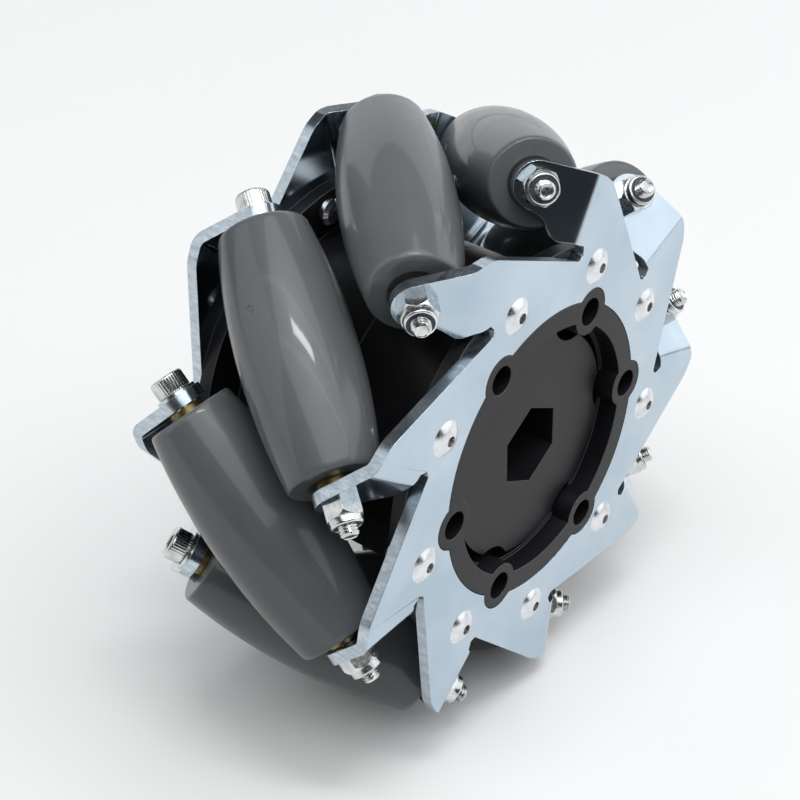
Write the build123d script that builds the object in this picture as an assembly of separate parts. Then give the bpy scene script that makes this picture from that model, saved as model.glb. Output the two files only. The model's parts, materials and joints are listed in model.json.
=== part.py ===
from build123d import *
import math
import os

# A mecanum wheel. The wheel's axle lies along Y, +Z is up and the origin is the wheel's centre.
# Nine barrel rollers stand at 45 degrees to the axle, each free to turn on its own screw
# between a near plate (towards -Y) and a far plate (towards +Y). All sizes are in millimetres.

# ---- driving dimensions ----
WHEEL_R = 50.4
HALF_WIDTH = 23.5
ROLLERS = 9
SKEW = 45.0
FIRST_ROLLER_ANGLE = 62.0

# rollers
AXIS_R = 41.1
ROLLER_LENGTH = 41.8
CORE_R = 4.2
CORE_BORE_R = 2.2
CORE_CLEARANCE = 0.4
TREAD_RIM_R = 0.5
BUSHING_FLANGE_R = 2.8
BUSHING_FLANGE_T = 1.0
BUSHING_LENGTH = 6.0
BUSHING_BORE_R = 1.55
END_PLAY = 0.15

# plates; the points of an arm's outline are x outward along the arm and y towards its bend
PLATE_T = 2.0
ARM_NOTCH = (30.0, -13.55)
ARM_CORNER = (44.7, 6.2)
ARM_CORNER_R = 6.0
ARM_STEP = (32.7, 8.3)
ARM_OUTER_X = 45.4
ARM_INNER_X = 34.1
BEND_OUTER_R = 3.5
TAB_HOLE_R = 1.6
TAB_END_R = 3.9
TAB_WAIST = (-4.5, -2.2)
TAB_WAIST_R = 3.0
TAB_SHOULDER = (-7.5, -5.0)
TAB_SHOULDER_R = 1.6
CUTOUT_GAP = 0.15
NOTCH_ROOT_R = 0.42
NOTCH_ROOT_MAX_R = 33.9

# hub
HUB_RING_R = 25.4
HUB_POCKET_R = 21.8
HUB_POCKET_DEPTH = 8.0
HUB_FLANGE_R = 34.4
HUB_FLANGE_T = 2.4
HUB_DRUM_R = 27.0
HUB_DRUM_WALL = 2.4
WEB_DEPTH = 2.75
WEB_R = 19.6
WEB_NOTCH_R = 5.8
WEB_T = 3.4
HEX_FLATS = 12.7
HEX_BOSS_R = 10.5
SCREW_HOLES = 6
SCREW_HOLE_CIRCLE_R = 23.8125
SCREW_HOLE_R = 2.4
SCREW_BOSS_R = 4.0
HUB_LEDGE_DEPTH = 3.6
HUB_LEDGE_W = 0.6

# rivets
RIVET_CIRCLE_R = 31.45
RIVET_ANGLE = 5.2
RIVET_BODY_R = 1.6
RIVET_HEAD_R = 3.0
RIVET_HEAD_H = 1.1
RIVET_MANDREL_R = 0.85
RIVET_MANDREL_DEPTH = 0.6
RIVET_BULB_R = 2.3
RIVET_BULB_L = 2.0
RIVET_BULB_CHAMFER = 0.6

# roller screws and lock nuts, M3
SCREW_R = 1.5
SCREW_HEAD_R = 2.75
SCREW_HEAD_H = 3.0
SCREW_HEAD_EDGE_R = 0.3
SCREW_SOCKET_FLATS = 2.5
SCREW_SOCKET_DEPTH = 1.6
SCREW_TIP_PAST_NUT = 1.6
SCREW_TIP_CHAMFER = 0.3
WASHER_R = 3.3
WASHER_T = 0.5
NUT_FLATS = 5.5
NUT_HEX_H = 2.6
NUT_CONE_H = 4.6
NUT_CONE_FLARE = 2.3
NUT_COLLAR_R = 2.55
NUT_COLLAR_EDGE_R = 0.35
NUT_H = 3.8
NUT_INSERT_R = 2.15
NUT_INSERT_T = 0.9
NUT_INSERT_RECESS = 0.1

# how far a cut, or a cylinder that joins another, runs past the surface it crosses
PAST = 1.0
SCREW_OVERLAP = 0.1

# ---- worked out ----
ROOT_HALF = math.sqrt(0.5)
ROLLER_END_S = ROLLER_LENGTH / 2
TAB_INNER_S = ROLLER_END_S + BUSHING_FLANGE_T + END_PLAY
TAB_OUTER_S = TAB_INNER_S + PLATE_T
NUT_TOP_S = TAB_OUTER_S + NUT_H
PITCH = 360.0 / ROLLERS
# Where the flat arm starts to bend, and where the bend ends along the tab from its hole.
BEND_SETBACK = BEND_OUTER_R * math.tan(math.radians(SKEW / 2))
BEND_START = 2 * TAB_OUTER_S * ROOT_HALF - HALF_WIDTH - BEND_SETBACK
BEND_CENTRE_Z = HALF_WIDTH - BEND_OUTER_R
BEND_END_V = BEND_SETBACK - (HALF_WIDTH - TAB_OUTER_S * ROOT_HALF) / ROOT_HALF

# Side frame: Z points out of the near face, X runs through the middle of roller 1.
START = math.radians(FIRST_ROLLER_ANGLE)
SIDE = Plane(origin=(0, 0, 0), x_dir=(math.cos(START), 0, math.sin(START)), z_dir=(0, -1, 0))
TAB_PLANE = Plane(
    origin=(AXIS_R, TAB_OUTER_S * ROOT_HALF, TAB_OUTER_S * ROOT_HALF),
    x_dir=(1, 0, 0),
    z_dir=(0, 1, 1),
)
ROLLER_PLANE = Plane(origin=(AXIS_R, 0, 0), x_dir=(1, 0, 0), z_dir=(0, 1, 1))


def turn(shape, degrees):
    """Turn a shape about the wheel's axle, in the side frame."""
    return Rot(0, 0, degrees) * shape


def flip(shape):
    """Turn a near-side shape over to the far side, about the line through roller 1."""
    return Rot(180, 0, 0) * shape


def about_axle(point, degrees):
    """A point of an arm's outline, turned about the axle."""
    x, y = point
    a = math.radians(degrees)
    return (x * math.cos(a) - y * math.sin(a), x * math.sin(a) + y * math.cos(a))


def cylinder(radius, z0, z1, x=0.0, y=0.0):
    """A cylinder along Z between two heights."""
    return Pos(x, y, (z0 + z1) / 2) * Cylinder(radius, z1 - z0)


def ring_points(radius, count, first=0.0):
    """Evenly spaced points on a circle."""
    angles = [math.radians(first + 360.0 * i / count) for i in range(count)]
    return [(radius * math.cos(a), radius * math.sin(a)) for a in angles]


def each(points, radius, z0, z1):
    """One cylinder at each point, as one shape."""
    parts = [cylinder(radius, z0, z1, x, y) for x, y in points]
    return Part() + parts


# ---- plates ----
def star_face():
    """The flat outline of a plate: nine arms, each with one long straight edge."""
    points = []
    for i in range(ROLLERS):
        a = i * PITCH
        points.append(about_axle(ARM_NOTCH, a))
        points.append(about_axle(ARM_CORNER, a))
        points.append(about_axle((ARM_OUTER_X, BEND_START), a))
        points.append(about_axle((ARM_INNER_X, BEND_START), a))
        points.append(about_axle(ARM_STEP, a))
    face = make_face(Polyline(*points, close=True))
    notch_roots = [v for v in face.vertices() if math.hypot(v.X, v.Y) < NOTCH_ROOT_MAX_R]
    face = fillet(notch_roots, NOTCH_ROOT_R)
    corner_r = math.hypot(*ARM_CORNER)
    corners = [v for v in face.vertices() if abs(math.hypot(v.X, v.Y) - corner_r) < 0.01]
    return fillet(corners, ARM_CORNER_R)


def plate_cutout():
    """The central opening, which fits round the hub's ring and its six ears."""
    z0 = HALF_WIDTH - PLATE_T - PAST
    z1 = HALF_WIDTH + PAST
    holes = ring_points(SCREW_HOLE_CIRCLE_R, SCREW_HOLES)
    opening = cylinder(HUB_RING_R + CUTOUT_GAP, z0, z1)
    return opening + each(holes, SCREW_BOSS_R + CUTOUT_GAP, z0, z1)


def arm_bend():
    """The 45 degree bend at the end of an arm."""
    width = ARM_OUTER_X - ARM_INNER_X
    centre = ((ARM_OUTER_X + ARM_INNER_X) / 2, BEND_START, HALF_WIDTH - PLATE_T / 2)
    section = Plane(origin=centre, x_dir=(1, 0, 0), z_dir=(0, 1, 0)) * Rectangle(width, PLATE_T)
    axis = Axis((0, BEND_START, BEND_CENTRE_Z), (-1, 0, 0))
    return revolve(section, axis, SKEW)


def tab_face():
    """The outline of a tab, drawn from its screw hole: x is outward, y runs to its tip."""
    outer_x = ARM_OUTER_X - AXIS_R
    inner_x = ARM_INNER_X - AXIS_R
    # tangent from the outer end of the bend to the round end
    reach = math.hypot(outer_x, BEND_END_V)
    turned = math.atan2(BEND_END_V, outer_x) + math.acos(TAB_END_R / reach)
    touch = (TAB_END_R * math.cos(turned), TAB_END_R * math.sin(turned))
    outline = Polyline((-TAB_END_R, 0), TAB_WAIST, TAB_SHOULDER, (inner_x, BEND_END_V))
    outline += Line((inner_x, BEND_END_V), (outer_x, BEND_END_V))
    outline += Line((outer_x, BEND_END_V), touch)
    outline += ThreePointArc(touch, (0, TAB_END_R), (-TAB_END_R, 0))
    face = make_face(outline)
    waist = [v for v in face.vertices() if abs(v.X - TAB_WAIST[0]) < 0.01]
    face = fillet(waist, TAB_WAIST_R)
    shoulder = [v for v in face.vertices() if abs(v.X - TAB_SHOULDER[0]) < 0.01]
    face = fillet(shoulder, TAB_SHOULDER_R)
    return face - Circle(TAB_HOLE_R)


def arm_tab():
    """The flat tab past the bend, square to the roller's screw."""
    return TAB_PLANE * extrude(tab_face(), -PLATE_T)


def plate():
    """A pressed steel plate: star, central opening, nine bends and nine tabs."""
    flat = Pos(0, 0, HALF_WIDTH - PLATE_T) * extrude(star_face(), PLATE_T)
    end = arm_bend() + arm_tab()
    body = flat + [turn(end, i * PITCH) for i in range(ROLLERS)]
    rivet_points = ring_points(RIVET_CIRCLE_R, ROLLERS, RIVET_ANGLE)
    body -= plate_cutout()
    return body - each(rivet_points, RIVET_BODY_R, HALF_WIDTH - PLATE_T - PAST, HALF_WIDTH + PAST)


# ---- hub ----
def hexagon(flats, z0, z1):
    """A hexagonal prism along Z, with a corner midway between two screw holes."""
    corner_r = flats / 2 / math.cos(math.radians(30))
    return Pos(0, 0, z0) * extrude(RegularPolygon(corner_r, 6, rotation=30), z1 - z0)


def hub_pocket():
    """The deep channel inside the ring, broken by the six screw bosses."""
    floor = HALF_WIDTH - HUB_POCKET_DEPTH
    top = HALF_WIDTH + PAST
    holes = ring_points(SCREW_HOLE_CIRCLE_R, SCREW_HOLES)
    web = cylinder(WEB_R, floor, HALF_WIDTH - WEB_DEPTH)
    web -= each(holes, WEB_NOTCH_R, floor, top)
    channel = cylinder(HUB_POCKET_R - HUB_LEDGE_W, floor, top)
    channel += cylinder(HUB_POCKET_R, HALF_WIDTH - HUB_LEDGE_DEPTH, top)
    channel -= web
    return channel - each(holes, SCREW_BOSS_R, floor, top)


def hub_half():
    """One moulded half of the hub, from the wheel's mid plane out to the near face."""
    holes = ring_points(SCREW_HOLE_CIRCLE_R, SCREW_HOLES)
    flange_top = HALF_WIDTH - PLATE_T
    web_bottom = HALF_WIDTH - HUB_POCKET_DEPTH - WEB_T
    body = cylinder(HUB_DRUM_R, 0, flange_top)
    body += cylinder(HUB_FLANGE_R, flange_top - HUB_FLANGE_T, flange_top)
    body += cylinder(HUB_RING_R, flange_top - PAST, HALF_WIDTH)
    body += each(holes, SCREW_BOSS_R, flange_top - PAST, HALF_WIDTH)
    body -= hub_pocket()
    hollow = cylinder(HUB_DRUM_R - HUB_DRUM_WALL, -PAST, web_bottom)
    hollow -= cylinder(HEX_BOSS_R, -PAST, web_bottom)
    hollow -= each(holes, SCREW_BOSS_R, -PAST, web_bottom)
    body -= hollow
    body -= hexagon(HEX_FLATS, -PAST, HALF_WIDTH + PAST)
    body -= each(holes, SCREW_HOLE_R, -PAST, HALF_WIDTH + PAST)
    rivet_points = ring_points(RIVET_CIRCLE_R, ROLLERS, RIVET_ANGLE)
    return body - each(rivet_points, RIVET_BODY_R, flange_top - HUB_FLANGE_T - PAST, flange_top + PAST)


# ---- rivets ----
def rivet():
    """A blind rivet along Z, its domed head resting on height 0."""
    grip = PLATE_T + HUB_FLANGE_T
    sphere_r = (RIVET_HEAD_R**2 + RIVET_HEAD_H**2) / (2 * RIVET_HEAD_H)
    ball = Pos(0, 0, RIVET_HEAD_H - sphere_r) * Sphere(sphere_r)
    dome = ball & cylinder(RIVET_HEAD_R, 0, RIVET_HEAD_H + PAST)
    body = dome + cylinder(RIVET_BODY_R, -grip - RIVET_BULB_L, 0)
    bulb = cylinder(RIVET_BULB_R, -grip - RIVET_BULB_L, -grip)
    body += chamfer(bulb.edges().filter_by(GeomType.CIRCLE), RIVET_BULB_CHAMFER)
    return body - cylinder(RIVET_MANDREL_R, -RIVET_MANDREL_DEPTH, RIVET_HEAD_H + PAST)


def rivets():
    """The nine rivets of one side."""
    points = ring_points(RIVET_CIRCLE_R, ROLLERS, RIVET_ANGLE)
    return [Pos(x, y, HALF_WIDTH) * rivet() for x, y in points]


# ---- rollers, each drawn along Z with its middle at the origin ----
def barrel_radius(s):
    """The roller's radius at a distance along its screw, so that the wheel rolls round."""
    return math.sqrt(WHEEL_R**2 - s * s / 2) - AXIS_R


def roller_tread():
    """The barrel-shaped tread with square ends."""
    stations = [ROLLER_END_S * k / 4 for k in range(-4, 5)]
    profile = Spline(*[(barrel_radius(s), 0, s) for s in stations])
    end_r = barrel_radius(ROLLER_END_S)
    outline = profile + Line((end_r, 0, ROLLER_END_S), (CORE_R, 0, ROLLER_END_S))
    outline += Line((CORE_R, 0, ROLLER_END_S), (CORE_R, 0, -ROLLER_END_S))
    outline += Line((CORE_R, 0, -ROLLER_END_S), (end_r, 0, -ROLLER_END_S))
    body = revolve(make_face(outline), Axis.Z, 360)
    rims = [e for e in body.edges().filter_by(GeomType.CIRCLE) if abs(e.radius - end_r) < 0.01]
    return fillet(rims, TREAD_RIM_R)


def roller_core():
    """The rigid tube that the tread is moulded on, counterbored for its bushings."""
    shank = BUSHING_LENGTH - BUSHING_FLANGE_T
    body = cylinder(CORE_R, -ROLLER_END_S, ROLLER_END_S)
    body -= cylinder(SCREW_R + CORE_CLEARANCE, -ROLLER_END_S - PAST, ROLLER_END_S + PAST)
    body -= cylinder(CORE_BORE_R, ROLLER_END_S - shank, ROLLER_END_S + PAST)
    return body - cylinder(CORE_BORE_R, -ROLLER_END_S - PAST, -ROLLER_END_S + shank)


def bushing():
    """A flanged bushing for the near end of a roller."""
    shank_bottom = ROLLER_END_S - (BUSHING_LENGTH - BUSHING_FLANGE_T)
    top = ROLLER_END_S + BUSHING_FLANGE_T
    body = cylinder(CORE_BORE_R, shank_bottom, ROLLER_END_S)
    body += cylinder(BUSHING_FLANGE_R, ROLLER_END_S, top)
    return body - cylinder(BUSHING_BORE_R, shank_bottom - PAST, top + PAST)


def roller_bushings():
    """The two bushings of a roller."""
    return [bushing(), Rot(180, 0, 0) * bushing()]


def roller_screw():
    """A socket head cap screw with its head outside the far tab."""
    seat = -TAB_OUTER_S - WASHER_T
    tip = NUT_TOP_S + SCREW_TIP_PAST_NUT
    shank = cylinder(SCREW_R, seat - SCREW_OVERLAP, tip)
    shank = chamfer(shank.edges().sort_by(Axis.Z)[-1], SCREW_TIP_CHAMFER)
    head = cylinder(SCREW_HEAD_R, seat - SCREW_HEAD_H, seat)
    head = fillet(head.edges().sort_by(Axis.Z)[0], SCREW_HEAD_EDGE_R)
    top = seat - SCREW_HEAD_H
    socket = hexagon(SCREW_SOCKET_FLATS, top - PAST, top + SCREW_SOCKET_DEPTH)
    return head + shank - socket


def screw_washer():
    """The washer between a screw's head and the far tab."""
    ring = cylinder(WASHER_R, -TAB_OUTER_S - WASHER_T, -TAB_OUTER_S)
    return ring - cylinder(TAB_HOLE_R, -TAB_OUTER_S - PAST, -TAB_OUTER_S + PAST)


def lock_nut():
    """A lock nut outside the near tab: a chamfered hexagon under a round collar."""
    hex_top = TAB_OUTER_S + NUT_HEX_H
    corner_r = NUT_FLATS / 2 / math.cos(math.radians(30))
    cone = Pos(0, 0, hex_top - NUT_CONE_H / 2) * Cone(corner_r + NUT_CONE_FLARE, NUT_FLATS / 2, NUT_CONE_H)
    body = hexagon(NUT_FLATS, TAB_OUTER_S, hex_top) & cone
    collar = cylinder(NUT_COLLAR_R, hex_top, NUT_TOP_S)
    body += fillet(collar.edges().sort_by(Axis.Z)[-1], NUT_COLLAR_EDGE_R)
    body -= cylinder(SCREW_R, TAB_OUTER_S - PAST, NUT_TOP_S + PAST)
    return body - cylinder(NUT_INSERT_R, NUT_TOP_S - NUT_INSERT_T, NUT_TOP_S + PAST)


def nut_insert():
    """The nylon ring in a lock nut's collar."""
    bottom = NUT_TOP_S - NUT_INSERT_T
    ring = cylinder(NUT_INSERT_R, bottom, NUT_TOP_S - NUT_INSERT_RECESS)
    return ring - cylinder(SCREW_R, bottom - PAST, NUT_TOP_S + PAST)


# ---- writing ----
def write(name, shape):
    """Write one node, placed in the wheel's frame."""
    solids = shape if isinstance(shape, list) else [shape]
    placed = [SIDE.location * solid for solid in solids]
    node = Compound(children=[s for part in placed for s in part.solids()])
    export_step(node, "parts/" + name + ".step")


def on_roller(shape, i):
    """Place a shape drawn along a roller's screw at roller number i."""
    return turn(ROLLER_PLANE.location * shape, i * PITCH)


def main():
    os.makedirs("parts", exist_ok=True)
    near_plate = plate()
    near_hub = hub_half()
    near_rivets = rivets()
    write("near_plate", near_plate)
    write("far_plate", flip(near_plate))
    write("near_hub_half", near_hub)
    write("far_hub_half", flip(near_hub))
    write("near_rivets", near_rivets)
    write("far_rivets", [flip(r) for r in near_rivets])
    for i in range(ROLLERS):
        number = "_" + str(i + 1)
        write("roller_tread" + number, on_roller(roller_tread(), i))
        write("roller_core" + number, on_roller(roller_core(), i))
        write("roller_bushings" + number, [on_roller(b, i) for b in roller_bushings()])
        write("roller_screw" + number, on_roller(roller_screw(), i))
        write("lock_nut" + number, on_roller(lock_nut(), i))
    write("nut_inserts", [on_roller(nut_insert(), i) for i in range(ROLLERS)])
    write("screw_washers", [on_roller(screw_washer(), i) for i in range(ROLLERS)])


main()
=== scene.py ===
"""The looks of a mecanum wheel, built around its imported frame.

Everything is in metres, in the wheel's own frame: the axle lies along Y, +Z is up, and the near
plate, with the lock nuts, faces -Y. Places come from the frame's joints, nodes and bounds.
"""
import json
import math
import random

import bpy
from mathutils import Matrix, Vector


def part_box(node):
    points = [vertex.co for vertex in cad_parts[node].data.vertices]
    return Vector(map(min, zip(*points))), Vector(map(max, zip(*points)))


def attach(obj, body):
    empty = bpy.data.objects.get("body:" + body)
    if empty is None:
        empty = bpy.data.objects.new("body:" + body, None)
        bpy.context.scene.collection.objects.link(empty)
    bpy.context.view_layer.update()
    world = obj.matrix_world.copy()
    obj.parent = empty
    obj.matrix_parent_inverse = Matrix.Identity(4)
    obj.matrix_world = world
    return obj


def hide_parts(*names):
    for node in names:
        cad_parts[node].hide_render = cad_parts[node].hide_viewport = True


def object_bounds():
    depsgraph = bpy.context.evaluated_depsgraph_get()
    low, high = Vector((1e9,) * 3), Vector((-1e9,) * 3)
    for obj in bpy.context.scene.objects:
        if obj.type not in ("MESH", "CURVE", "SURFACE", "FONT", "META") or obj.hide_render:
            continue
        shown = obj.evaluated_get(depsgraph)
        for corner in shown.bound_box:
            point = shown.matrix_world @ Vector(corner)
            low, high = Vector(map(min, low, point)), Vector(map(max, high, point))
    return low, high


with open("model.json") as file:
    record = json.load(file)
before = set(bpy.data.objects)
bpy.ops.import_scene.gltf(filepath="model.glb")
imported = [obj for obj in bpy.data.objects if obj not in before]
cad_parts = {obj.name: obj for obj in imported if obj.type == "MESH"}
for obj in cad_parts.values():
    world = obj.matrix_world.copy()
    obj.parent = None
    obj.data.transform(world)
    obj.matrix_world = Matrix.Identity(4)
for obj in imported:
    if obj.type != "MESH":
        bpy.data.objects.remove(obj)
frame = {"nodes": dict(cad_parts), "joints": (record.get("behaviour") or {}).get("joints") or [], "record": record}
CAD_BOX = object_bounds()

MM = 0.001
ROLLERS = 9
SEED = 7
SPIN_STEP = math.radians(137.5)
SPIN_FIRST = math.radians(222.3)

# ---- sizes that the frame doesn't give, in millimetres ----
# treads
TREAD_COLUMNS = 112
TREAD_ROWS = 56
TREAD_RIM = 0.45
SEAM_RISE = 0.025
SEAM_HALF_W = 0.12
GATE_R = 0.75
GATE_DEPTH = 0.12
GATE_S = -5.9
# screws
SCREW_COLUMNS = 144
SCREW_R = 1.5
HEAD_H = 3.0
KNURLS = 36
KNURL_DEPTH = 0.11
SOCKET_FLATS = 2.5
SOCKET_DEPTH = 1.6
THREAD_PITCH = 0.5
THREAD_DEPTH = 0.27
THREAD_LENGTH = 2.6
# rivets
RIVET_CIRCLE_R = 31.45
RIVET_ANGLE = 5.2
MANDREL_R = 0.83
MANDREL_BELOW_FACE = 0.5
MANDREL_ABOVE_FACE = 0.55
# widths of the broken edges on CAD nodes
PLATE_EDGE_W = 0.16
HUB_EDGE_W = 0.20
NUT_EDGE_W = 0.07


# ---- places from the frame ----
class Roller:
    """One roller's own line: its middle, its direction towards the near side, and its matrix."""

    def __init__(self, number):
        joint = next(j for j in frame["joints"] if j["child"] == "roller_" + str(number))
        self.number = number
        self.middle = Vector(joint["pos_m"])
        self.along = Vector(joint["axis"]).normalized()
        outward = self.middle.normalized()
        across = self.along.cross(outward)
        turned = Matrix((outward, across, self.along)).transposed().to_4x4()
        self.matrix = Matrix.Translation(self.middle) @ turned

    def node(self, kind):
        """The name of this roller's node of one kind."""
        return kind + "_" + str(self.number)

    def span(self, kind):
        """The lowest and highest place of a node along the roller's line, in millimetres."""
        mesh = frame["nodes"][self.node(kind)].data
        places = [(v.co - self.middle).dot(self.along) / MM for v in mesh.vertices]
        return min(places), max(places)

    def radius(self, kind):
        """The largest radius of a node about the roller's line, in millimetres."""
        mesh = frame["nodes"][self.node(kind)].data
        return max((v.co - self.middle).cross(self.along).length for v in mesh.vertices) / MM


rollers = [Roller(i + 1) for i in range(ROLLERS)]
AXIS_R = rollers[0].middle.length / MM
BARREL_R = rollers[0].radius("roller_tread")
WHEEL_R = AXIS_R + BARREL_R
TREAD_HALF = rollers[0].span("roller_tread")[1]
CORE_R = rollers[0].radius("roller_core")
HEAD_R = rollers[0].radius("roller_screw")
FACE_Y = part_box("near_hub_half")[0].y / MM


# ---- mesh helpers ----
def new_object(name, vertices, faces, material, matrix=Matrix.Identity(4), smooth_angle=30):
    """A mesh object from millimetre points, shaded smooth below an angle."""
    mesh = bpy.data.meshes.new(name)
    mesh.from_pydata([matrix @ (Vector(v) * MM) for v in vertices], [], faces)
    mesh.validate()
    mesh.materials.append(material)
    piece = bpy.data.objects.new(name, mesh)
    bpy.context.scene.collection.objects.link(piece)
    mesh.shade_smooth()
    mesh.set_sharp_from_angle(angle=math.radians(smooth_angle))
    return piece


def even_columns(count):
    """Evenly spaced angles round a full turn."""
    return [2 * math.pi * i / count for i in range(count)]


def lathe(rows, columns, ring):
    """Vertices and faces of a turned shape along Z. A row is (height, radius) or (height, function
    of the angle). A ring's last row joins its first; otherwise its first and last rows are points."""
    vertices = []
    faces = []
    starts = []
    for height, radius in rows:
        starts.append(len(vertices))
        if radius == 0:
            vertices.append((0, 0, height))
            continue
        for angle in columns:
            r = radius(angle) if callable(radius) else radius
            vertices.append((r * math.cos(angle), r * math.sin(angle), height))
    pairs = list(zip(range(len(rows)), range(1, len(rows))))
    if ring:
        pairs.append((len(rows) - 1, 0))
    n = len(columns)
    for low, high in pairs:
        a, b = starts[low], starts[high]
        for i in range(n):
            j = (i + 1) % n
            if rows[low][1] == 0:
                faces.append((a, b + j, b + i))
            elif rows[high][1] == 0:
                faces.append((a + i, a + j, b))
            else:
                faces.append((a + i, a + j, b + j, b + i))
    return vertices, faces


def joined(shapes):
    """Several (vertices, faces) as one."""
    vertices = []
    faces = []
    for more_vertices, more_faces in shapes:
        start = len(vertices)
        vertices += more_vertices
        faces += [tuple(start + k for k in face) for face in more_faces]
    return vertices, faces


# ---- material helpers ----
class Nodes:
    """A short way to write a material's node tree."""

    def __init__(self, name):
        self.material = bpy.data.materials.new(name)
        self.material.use_nodes = True
        self.tree = self.material.node_tree
        self.tree.nodes.clear()
        self.output = self.add("ShaderNodeOutputMaterial")
        self.shader = self.add("ShaderNodeBsdfPrincipled")
        self.link(self.shader.outputs[0], self.output.inputs["Surface"])
        self.place = self.add("ShaderNodeTexCoord")

    def add(self, kind, **settings):
        node = self.tree.nodes.new(kind)
        for key, value in settings.items():
            setattr(node, key, value)
        return node

    def link(self, source, target):
        self.tree.links.new(source, target)

    def set(self, **values):
        """Set the shader's own sockets, named with _ for a space."""
        for key, value in values.items():
            self.shader.inputs[key.replace("_", " ")].default_value = value

    def noise(self, scale, detail=4.0, rough=0.55, stretch=None, turn=(0, 0, 0), distort=0.0):
        """A noise texture's value, over object space."""
        node = self.add("ShaderNodeTexNoise")
        node.inputs["Scale"].default_value = scale
        node.inputs["Detail"].default_value = detail
        node.inputs["Roughness"].default_value = rough
        node.inputs["Distortion"].default_value = distort
        source = self.place.outputs["Object"]
        if stretch:
            mapping = self.add("ShaderNodeMapping")
            mapping.inputs["Rotation"].default_value = turn
            mapping.inputs["Scale"].default_value = stretch
            self.link(source, mapping.inputs["Vector"])
            source = mapping.outputs["Vector"]
        self.link(source, node.inputs["Vector"])
        return node.outputs["Fac"]

    def fit(self, value, low, high, to_low=0.0, to_high=1.0, smooth=False):
        """Map a value from one range to another, clamped."""
        node = self.add("ShaderNodeMapRange")
        node.interpolation_type = "SMOOTHSTEP" if smooth else "LINEAR"
        for key, number in (("From Min", low), ("From Max", high), ("To Min", to_low), ("To Max", to_high)):
            node.inputs[key].default_value = number
        self.link(value, node.inputs["Value"])
        return node.outputs["Result"]

    def math(self, operation, a, b=None):
        """One arithmetic node; a and b are numbers or sockets."""
        node = self.add("ShaderNodeMath", operation=operation)
        for socket, value in zip(node.inputs, (a, b)):
            if value is None:
                continue
            if isinstance(value, (int, float)):
                socket.default_value = value
            else:
                self.link(value, socket)
        return node.outputs[0]

    def mix(self, factor, first, second):
        """A colour between two, each a colour or a socket."""
        node = self.add("ShaderNodeMix", data_type="RGBA")
        self.link(factor, node.inputs["Factor"])
        for socket, value in ((node.inputs[6], first), (node.inputs[7], second)):
            if isinstance(value, tuple):
                socket.default_value = (*value, 1.0)
            else:
                self.link(value, socket)
        return node.outputs[2]

    def bump(self, height, distance, strength=1.0, onto=None):
        """A bump of that height's range, in metres, on top of another."""
        node = self.add("ShaderNodeBump")
        node.inputs["Strength"].default_value = strength
        node.inputs["Distance"].default_value = distance
        self.link(height, node.inputs["Height"])
        if onto:
            self.link(onto, node.inputs["Normal"])
        return node.outputs["Normal"]

    def colour(self, socket):
        self.link(socket, self.shader.inputs["Base Color"])

    def roughness(self, socket):
        self.link(socket, self.shader.inputs["Roughness"])

    def normal(self, socket):
        self.link(socket, self.shader.inputs["Normal"])


def axle_lean(m):
    """How far a face looks along the axle, from 0 for a plate's cut edge to 1 for its flat."""
    parts = m.add("ShaderNodeSeparateXYZ")
    m.link(m.place.outputs["Normal"], parts.inputs[0])
    return m.math("ABSOLUTE", parts.outputs["Y"])


def scratches(m, scale, turn, level):
    """Thin straight scratches in one direction."""
    lines = m.noise(scale, detail=2.0, rough=0.6, stretch=(1.0, 90.0, 90.0), turn=turn)
    patch = m.noise(60.0, detail=2.0)
    thin = m.fit(lines, level, level + 0.05)
    return m.math("MULTIPLY", thin, m.fit(patch, 0.5, 0.62))


# ---- materials ----
def zinc_plate():
    """Bright blue-white zinc on pressed steel, with darker sheared edges."""
    m = Nodes("zinc_plate_finish")
    m.set(Metallic=1.0)
    face = m.fit(axle_lean(m), 0.55, 0.69, smooth=True)
    cloud = m.noise(55.0, detail=3.0)
    grain = m.noise(2600.0, detail=2.0)
    tint = m.mix(m.fit(cloud, 0.35, 0.65), (0.45, 0.555, 0.64), (0.56, 0.655, 0.735))
    tint = m.mix(m.fit(grain, 0.62, 0.75, 0.0, 0.5), tint, (0.36, 0.43, 0.50))
    shear = m.noise(1100.0, detail=3.0, rough=0.7, stretch=(1.0, 0.35, 1.0))
    edge = m.mix(m.fit(shear, 0.35, 0.66), (0.40, 0.46, 0.52), (0.60, 0.67, 0.73))
    m.colour(m.mix(face, edge, tint))
    one_way = scratches(m, 30.0, (0.2, 0.6, 0.3), 0.66)
    other_way = scratches(m, 26.0, (0.1, -0.9, 0.2), 0.67)
    marks = m.math("MAXIMUM", one_way, other_way)
    smooth = m.fit(cloud, 0.3, 0.7, 0.11, 0.18)
    smooth = m.math("ADD", smooth, m.math("MULTIPLY", marks, 0.12))
    rough_edge = m.fit(face, 0.0, 1.0, 0.12, 0.0)
    m.roughness(m.math("ADD", smooth, rough_edge))
    skin = m.bump(grain, 0.000004, 0.5)
    cut = m.math("MULTIPLY", shear, m.fit(face, 0.0, 1.0, 1.0, 0.0))
    m.normal(m.bump(cut, 0.00003, 0.5, onto=skin))
    return m.material


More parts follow.
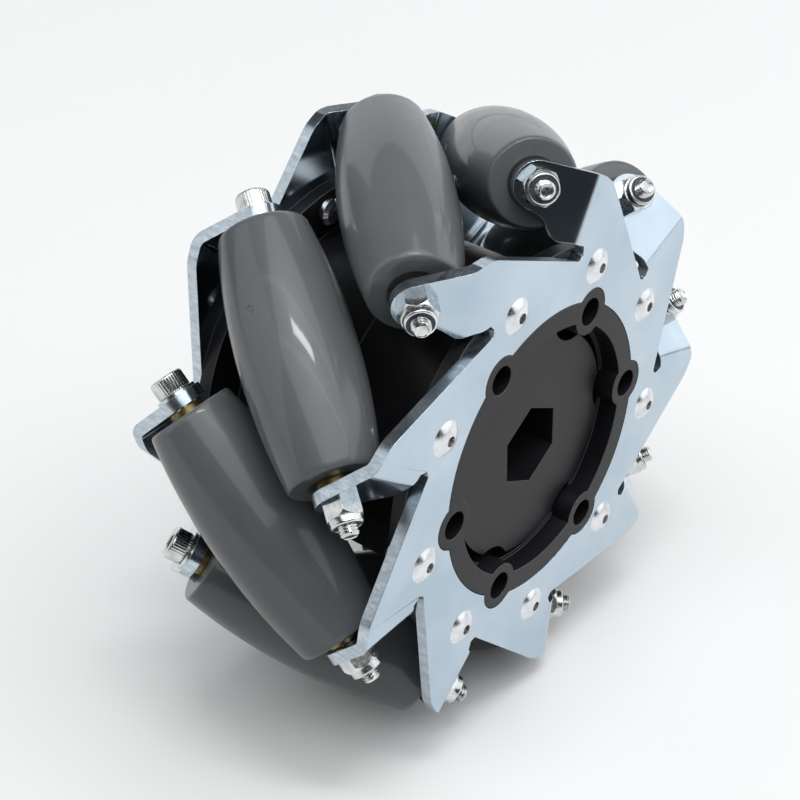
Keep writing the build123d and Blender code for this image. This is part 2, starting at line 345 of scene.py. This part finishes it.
def hub_nylon():
    """Satin black moulded nylon with a fine texture, a little smoother along its rounded edges, which carry a
    painted highlight: a lighter grey colour.
    """
    m = Nodes("hub_nylon_finish")
    m.set(Specular_IOR_Level=0.25)
    cloud = m.noise(40.0, detail=3.0)
    grain = m.noise(3800.0, detail=2.0)
    lean = axle_lean(m)
    off_side = m.fit(lean, 0.08, 0.30, smooth=True)
    off_face = m.fit(lean, 0.80, 0.98, 1.0, 0.0, smooth=True)
    edge = m.math("MULTIPLY", off_side, off_face)
    base = m.mix(m.fit(cloud, 0.3, 0.7), (0.008, 0.008, 0.010), (0.013, 0.013, 0.015))
    # Painted highlight: the bevelled edges are coloured light grey to stand for the light they catch.
    m.colour(m.mix(edge, base, (0.11, 0.113, 0.12)))
    satin = m.fit(grain, 0.3, 0.7, 0.32, 0.42)
    m.roughness(m.math("SUBTRACT", satin, m.math("MULTIPLY", edge, 0.12)))
    m.normal(m.bump(grain, 0.000010, 0.5))
    return m.material


def tread_urethane():
    """Smooth moulded grey urethane, with faint flow marks, dust and scuffs."""
    m = Nodes("tread_urethane_finish")
    m.set(Specular_IOR_Level=0.32, Coat_Weight=0.4, Coat_Roughness=0.06)
    cloud = m.noise(35.0, detail=3.0)
    dust = m.noise(1500.0, detail=3.0, rough=0.7)
    base = m.mix(m.fit(cloud, 0.3, 0.7), (0.108, 0.118, 0.124), (0.130, 0.139, 0.145))
    m.colour(m.mix(m.fit(dust, 0.66, 0.76, 0.0, 0.35), base, (0.30, 0.31, 0.31)))
    scuffs = m.noise(220.0, detail=5.0, rough=0.65, distort=0.4)
    m.roughness(m.fit(scuffs, 0.35, 0.7, 0.30, 0.42))
    m.normal(m.bump(m.noise(500.0, detail=3.0), 0.000010, 0.25))
    return m.material


def core_nylon():
    """Black nylon tube, turned at its ends."""
    m = Nodes("core_nylon_finish")
    rings = m.noise(2200.0, detail=2.0)
    m.colour(m.mix(m.fit(rings, 0.3, 0.7), (0.022, 0.022, 0.024), (0.038, 0.038, 0.041)))
    m.roughness(m.fit(rings, 0.3, 0.7, 0.40, 0.55))
    m.normal(m.bump(rings, 0.000008, 0.5))
    return m.material


def turned_metal(name, light, dark, smooth, rough):
    """A plated or turned metal with fine grain and darker stains."""
    m = Nodes(name + "_finish")
    m.set(Metallic=1.0)
    grain = m.noise(1800.0, detail=3.0)
    stain = m.noise(420.0, detail=4.0, rough=0.65)
    m.colour(m.mix(m.fit(stain, 0.42, 0.68), light, dark))
    m.roughness(m.fit(grain, 0.3, 0.7, smooth, rough))
    m.normal(m.bump(grain, 0.000006, 0.6))
    return m.material


def insert_nylon():
    """The bluish dark nylon ring of a lock nut."""
    m = Nodes("insert_nylon_finish")
    grain = m.noise(2500.0, detail=2.0)
    m.colour(m.mix(m.fit(grain, 0.3, 0.7), (0.045, 0.055, 0.070), (0.075, 0.085, 0.105)))
    m.roughness(m.fit(grain, 0.3, 0.7, 0.35, 0.5))
    m.normal(m.bump(grain, 0.000010, 0.5))
    return m.material


MATERIALS = {
    "zinc_plate": zinc_plate(),
    "hub_nylon": hub_nylon(),
    "tread_urethane": tread_urethane(),
    "core_nylon": core_nylon(),
    # The bushing is coloured far darker than bright brass: partly the darker bronze of an oiled bushing, partly
    # painted shade for the dark gap it sits in.
    "bushing_brass": turned_metal("bushing_brass", (0.34, 0.26, 0.11), (0.14, 0.10, 0.05), 0.32, 0.48),
    "fastener_steel": turned_metal("fastener_steel", (0.74, 0.76, 0.75), (0.50, 0.52, 0.52), 0.16, 0.30),
    "rivet_metal": turned_metal("rivet_metal", (0.80, 0.82, 0.84), (0.62, 0.64, 0.67), 0.18, 0.30),
    "insert_nylon": insert_nylon(),
}
MANDREL = turned_metal("mandrel_steel", (0.30, 0.25, 0.23), (0.12, 0.10, 0.09), 0.35, 0.55)


# ---- CAD nodes ----
def finish_nodes():
    """Give every CAD node its material."""
    slots = {part["node"]: part["material_slot"] for part in frame["record"]["subparts"]}
    for name, node in frame["nodes"].items():
        for place in node.material_slots:
            place.material = MATERIALS[slots[name]]


def round_edges(node, width):
    """Break a CAD node's sharp edges by a small width."""
    weld = node.modifiers.new("weld", "WELD")
    weld.merge_threshold = 0.000001
    flat = node.modifiers.new("flat", "DECIMATE")
    flat.decimate_type = "DISSOLVE"
    flat.angle_limit = math.radians(0.5)
    edge = node.modifiers.new("edge", "BEVEL")
    edge.width = width * MM
    edge.segments = 2
    edge.limit_method = "ANGLE"
    edge.angle_limit = math.radians(35)
    edge.harden_normals = True
    even = node.modifiers.new("even", "WEIGHTED_NORMAL")
    even.weight = 100
    even.keep_sharp = True


# ---- rollers ----
def tread_radius(s):
    """The barrel's radius at a place along its line."""
    return math.sqrt(WHEEL_R**2 - s * s / 2) - AXIS_R


def tread_columns():
    """Even angles, with closer ones at the two mould seams and the gate mark."""
    angles = even_columns(TREAD_COLUMNS)
    for seam in (0.0, math.pi):
        angles += [(seam + k * SEAM_HALF_W / BARREL_R) % (2 * math.pi) for k in (-1, 1)]
    angles += [math.pi / 2 + k * GATE_R / BARREL_R / 5 for k in range(-6, 7)]
    return sorted(set(round(a, 5) for a in angles))


def tread_rows():
    """Heights along the barrel, closer at the gate mark."""
    inner = TREAD_HALF - TREAD_RIM
    heights = [-inner + 2 * inner * i / TREAD_ROWS for i in range(TREAD_ROWS + 1)]
    heights += [GATE_S + k * GATE_R / 5 for k in range(-6, 7)]
    return sorted(set(round(h, 5) for h in heights))


def tread_detail(s, angle):
    """How far the mould's seams stand up and the gate mark lies in."""
    rise = 0.0
    for seam in (0.0, math.pi, 2 * math.pi):
        away = abs(angle - seam) * BARREL_R / SEAM_HALF_W
        rise += SEAM_RISE * max(0.0, 1.0 - away)
    away = math.hypot((angle - math.pi / 2) * BARREL_R, s - GATE_S) / GATE_R
    if away < 1.0:
        rise -= GATE_DEPTH * math.sin(math.pi * away)
    return rise


def barrel_row(s):
    """The barrel's radius at one height, as a function of the angle."""
    return lambda angle: tread_radius(s) + tread_detail(s, angle)


def make_tread(roller, spin):
    """One tread: a barrel with mould seams, a gate mark, rounded rims and flat ends."""
    end_r = tread_radius(TREAD_HALF)
    inner = TREAD_HALF - TREAD_RIM
    rim = [math.radians(a) for a in (22.5, 45, 67.5, 90)]
    rows = [(s, barrel_row(s)) for s in tread_rows()]
    top = [(inner + TREAD_RIM * math.sin(a), end_r - TREAD_RIM * (1 - math.cos(a))) for a in rim]
    top.append((TREAD_HALF, (end_r + CORE_R) / 2))
    top.append((TREAD_HALF, CORE_R))
    bottom = [(-s, r) for s, r in reversed(top)]
    vertices, faces = lathe(bottom + rows + top, tread_columns(), ring=True)
    matrix = roller.matrix @ Matrix.Rotation(spin, 4, "Z")
    name = roller.node("roller_tread")
    tread = new_object("tread_" + str(roller.number), vertices, faces, MATERIALS["tread_urethane"], matrix)
    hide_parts(name)
    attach(tread, "roller_" + str(roller.number))


# ---- screws ----
def knurl(angle):
    """The radius of a screw head's knurled side."""
    return HEAD_R - KNURL_DEPTH * abs((angle * KNURLS / (2 * math.pi)) % 1.0 - 0.5) * 2


def hexagonal(flats):
    """The radius of a hexagon as a function of the angle."""
    sixth = math.pi / 3
    return lambda angle: flats / 2 / math.cos((angle % sixth) - sixth / 2)


def thread(height):
    """The radius of a screw's thread at one height, as a function of the angle."""

    def radius(angle):
        turn = (height / THREAD_PITCH - angle / (2 * math.pi)) % 1.0
        return SCREW_R - THREAD_DEPTH * (1 - min(1.0, abs(turn - 0.5) * 2.4))

    return radius


def make_screw(roller):
    """One socket head cap screw, with a knurled head, a hex socket and a threaded tip."""
    head_top, tip = roller.span("roller_screw")
    seat = head_top + HEAD_H
    floor = head_top + SOCKET_DEPTH
    lead = HEAD_R - 0.3
    socket = hexagonal(SOCKET_FLATS)
    rows = [(floor + 0.35, 0), (floor, socket), (head_top + 0.12, socket)]
    rows += [(head_top, SOCKET_FLATS / 2 + 0.3), (head_top, lead), (head_top + 0.12, HEAD_R - 0.12)]
    rows += [(head_top + 0.35, HEAD_R - 0.03), (head_top + 0.5, knurl), (seat - 0.25, knurl)]
    rows += [(seat - 0.1, HEAD_R - 0.1), (seat, HEAD_R - 0.25), (seat, SCREW_R)]
    start = tip - THREAD_LENGTH
    rows.append((start, SCREW_R))
    steps = round((THREAD_LENGTH - 0.35) / THREAD_PITCH * 8)
    rows += [(start + (k + 1) * THREAD_PITCH / 8, thread(start + k * THREAD_PITCH / 8)) for k in range(steps)]
    rows += [(tip - 0.30, SCREW_R - 0.08), (tip - 0.04, SCREW_R - 0.34), (tip, SCREW_R - 0.42)]
    rows += [(tip, SCREW_R - 0.46), (tip - 0.10, SCREW_R - 0.56), (tip - 0.12, SCREW_R - 0.60)]
    rows += [(tip - 0.12, 0.3), (tip - 0.12, 0)]
    vertices, faces = lathe(rows, even_columns(SCREW_COLUMNS), ring=False)
    name = "screw_" + str(roller.number)
    screw = new_object(name, vertices, faces, MATERIALS["fastener_steel"], roller.matrix, smooth_angle=40)
    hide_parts(roller.node("roller_screw"))
    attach(screw, "frame")


# ---- rivets ----
def make_mandrels(name, side, angle):
    """The broken mandrel ends inside one side's rivets."""
    dice = random.Random(SEED)
    first = math.atan2(rollers[0].middle.z, rollers[0].middle.x)
    shapes = []
    for i in range(ROLLERS):
        turn = first + math.radians(angle) + 2 * math.pi * i / ROLLERS
        x = RIVET_CIRCLE_R * math.cos(turn)
        z = RIVET_CIRCLE_R * math.sin(turn)
        rough = [dice.uniform(-0.09, 0.09) for _ in range(4)]
        rows = [(-MANDREL_BELOW_FACE, 0), (-MANDREL_BELOW_FACE, MANDREL_R)]
        rows += [(MANDREL_ABOVE_FACE - 0.25, MANDREL_R), (MANDREL_ABOVE_FACE + rough[0], MANDREL_R - 0.16)]
        rows += [(MANDREL_ABOVE_FACE - 0.08 + rough[1], MANDREL_R - 0.35)]
        rows += [(MANDREL_ABOVE_FACE + 0.03 + rough[2], MANDREL_R - 0.58), (MANDREL_ABOVE_FACE + rough[3], 0)]
        vertices, faces = lathe(rows, even_columns(20), ring=False)
        stand = [(x + a, side * (abs(FACE_Y) + c), z - side * b) for a, b, c in vertices]
        shapes.append((stand, faces))
    vertices, faces = joined(shapes)
    stubs = new_object(name, vertices, faces, MANDREL)
    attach(stubs, "frame")


# ---- stage ----
FLOOR_HALF = 3.0
CAMERA_AT = (-0.2030, -0.1573, 0.1752)
CAMERA_FORWARD = (0.6427, 0.5187, -0.5638)
CAMERA_LENS = 83.0


def make_camera():
    data = bpy.data.cameras.new("camera")
    data.lens = CAMERA_LENS
    data.sensor_width = 36.0
    data.clip_start = 0.01
    camera = bpy.data.objects.new("camera", data)
    camera.location = CAMERA_AT
    camera.rotation_mode = "QUATERNION"
    camera.rotation_quaternion = Vector(CAMERA_FORWARD).to_track_quat("-Z", "Y")
    bpy.context.scene.collection.objects.link(camera)
    bpy.context.scene.camera = camera


def make_floor():
    """A plain pale floor under the wheel, coloured dark grey for diffuse bounce rays: painted shade, since it
    throws little bounce light onto the wheel's lower sides.
    """
    m = Nodes("floor_finish")
    cloud = m.noise(3.0, detail=2.0)
    pale = m.mix(m.fit(cloud, 0.3, 0.7), (0.86, 0.86, 0.86), (0.88, 0.88, 0.88))
    # Painted shade: diffuse bounce rays see a dark grey floor instead of the pale one.
    path = m.add("ShaderNodeLightPath")
    m.colour(m.mix(path.outputs["Is Diffuse Ray"], pale, (0.12, 0.125, 0.13)))
    m.set(Roughness=0.7, Specular_IOR_Level=0.2)
    z = CAD_BOX[0].z
    mesh = bpy.data.meshes.new("floor")
    corners = [(-FLOOR_HALF, -FLOOR_HALF, z), (FLOOR_HALF, -FLOOR_HALF, z)]
    corners += [(FLOOR_HALF, FLOOR_HALF, z), (-FLOOR_HALF, FLOOR_HALF, z)]
    mesh.from_pydata(corners, [], [(0, 1, 2, 3)])
    mesh.materials.append(m.material)
    floor = bpy.data.objects.new("floor", mesh)
    bpy.context.scene.collection.objects.link(floor)


def make_light(name, place, size, power, colour=(1.0, 1.0, 1.0), level=(0.628, -0.778, 0.0)):
    """A rectangular soft light aimed at the wheel, its first side along a level direction."""
    data = bpy.data.lights.new(name, "AREA")
    data.shape = "RECTANGLE"
    data.size, data.size_y = size
    data.energy = power
    data.color = colour
    light = bpy.data.objects.new(name, data)
    back = Vector(place).normalized()
    side = (Vector(level) - back * back.dot(Vector(level))).normalized()
    turned = Matrix((side, back.cross(side), back)).transposed().to_4x4()
    light.matrix_world = Matrix.Translation(place) @ turned
    bpy.context.scene.collection.objects.link(light)


def make_lights():
    """A wide soft ceiling with a lamp and two pale strips under it, a panel each side and one
    behind, and a dim room in front."""
    make_light("ceiling", (-0.30, -0.62, 2.0), (3.0, 2.5), 43.0, level=(1.0, 0.0, 0.0))
    make_light("strip_front", (-0.21, -0.32, 0.98), (1.7, 0.035), 0.30)
    make_light("strip_back", (-0.03, -0.10, 1.05), (1.7, 0.035), 0.30)
    make_light("lamp", (-0.13, -0.21, 0.98), (0.38, 0.065), 2.1)
    make_light("backdrop", (0.95, 0.78, 0.45), (2.2, 1.0), 7.0, (0.95, 0.98, 1.0))
    make_light("left_panel", (-0.73, 0.78, 0.545), (0.85, 1.2), 3.1, (0.97, 0.99, 1.0), (0.73, 0.68, 0.0))
    make_light("right_panel", (0.83, -0.80, 0.46), (1.8, 0.95), 7.0, (0.96, 0.98, 1.0), (0.70, 0.72, 0.0))
    make_room()


def make_room():
    """A dim room that the camera sees as a pale backdrop."""
    world = bpy.data.worlds.new("room")
    world.use_nodes = True
    tree = world.node_tree
    dim = tree.nodes["Background"]
    dim.inputs["Color"].default_value = (0.9, 0.95, 1.0, 1.0)
    dim.inputs["Strength"].default_value = 0.03
    pale = tree.nodes.new("ShaderNodeBackground")
    pale.inputs["Color"].default_value = (0.80, 0.81, 0.82, 1.0)
    path = tree.nodes.new("ShaderNodeLightPath")
    choice = tree.nodes.new("ShaderNodeMixShader")
    tree.links.new(path.outputs["Is Camera Ray"], choice.inputs["Fac"])
    tree.links.new(dim.outputs["Background"], choice.inputs[1])
    tree.links.new(pale.outputs["Background"], choice.inputs[2])
    tree.links.new(choice.outputs["Shader"], tree.nodes["World Output"].inputs["Surface"])
    bpy.context.scene.world = world
    bpy.context.scene.view_settings.view_transform = "Standard"


def main():
    make_camera()
    make_floor()
    make_lights()
    finish_nodes()
    for name in ("near_plate", "far_plate"):
        round_edges(frame["nodes"][name], PLATE_EDGE_W)
    for name in ("near_hub_half", "far_hub_half"):
        round_edges(frame["nodes"][name], HUB_EDGE_W)
    for roller in rollers:
        round_edges(frame["nodes"][roller.node("lock_nut")], NUT_EDGE_W)
        make_tread(roller, spin=SPIN_FIRST + SPIN_STEP * roller.number)
        make_screw(roller)
    make_mandrels("near_rivet_mandrels", -1, RIVET_ANGLE)
    make_mandrels("far_rivet_mandrels", 1, -RIVET_ANGLE)


main()
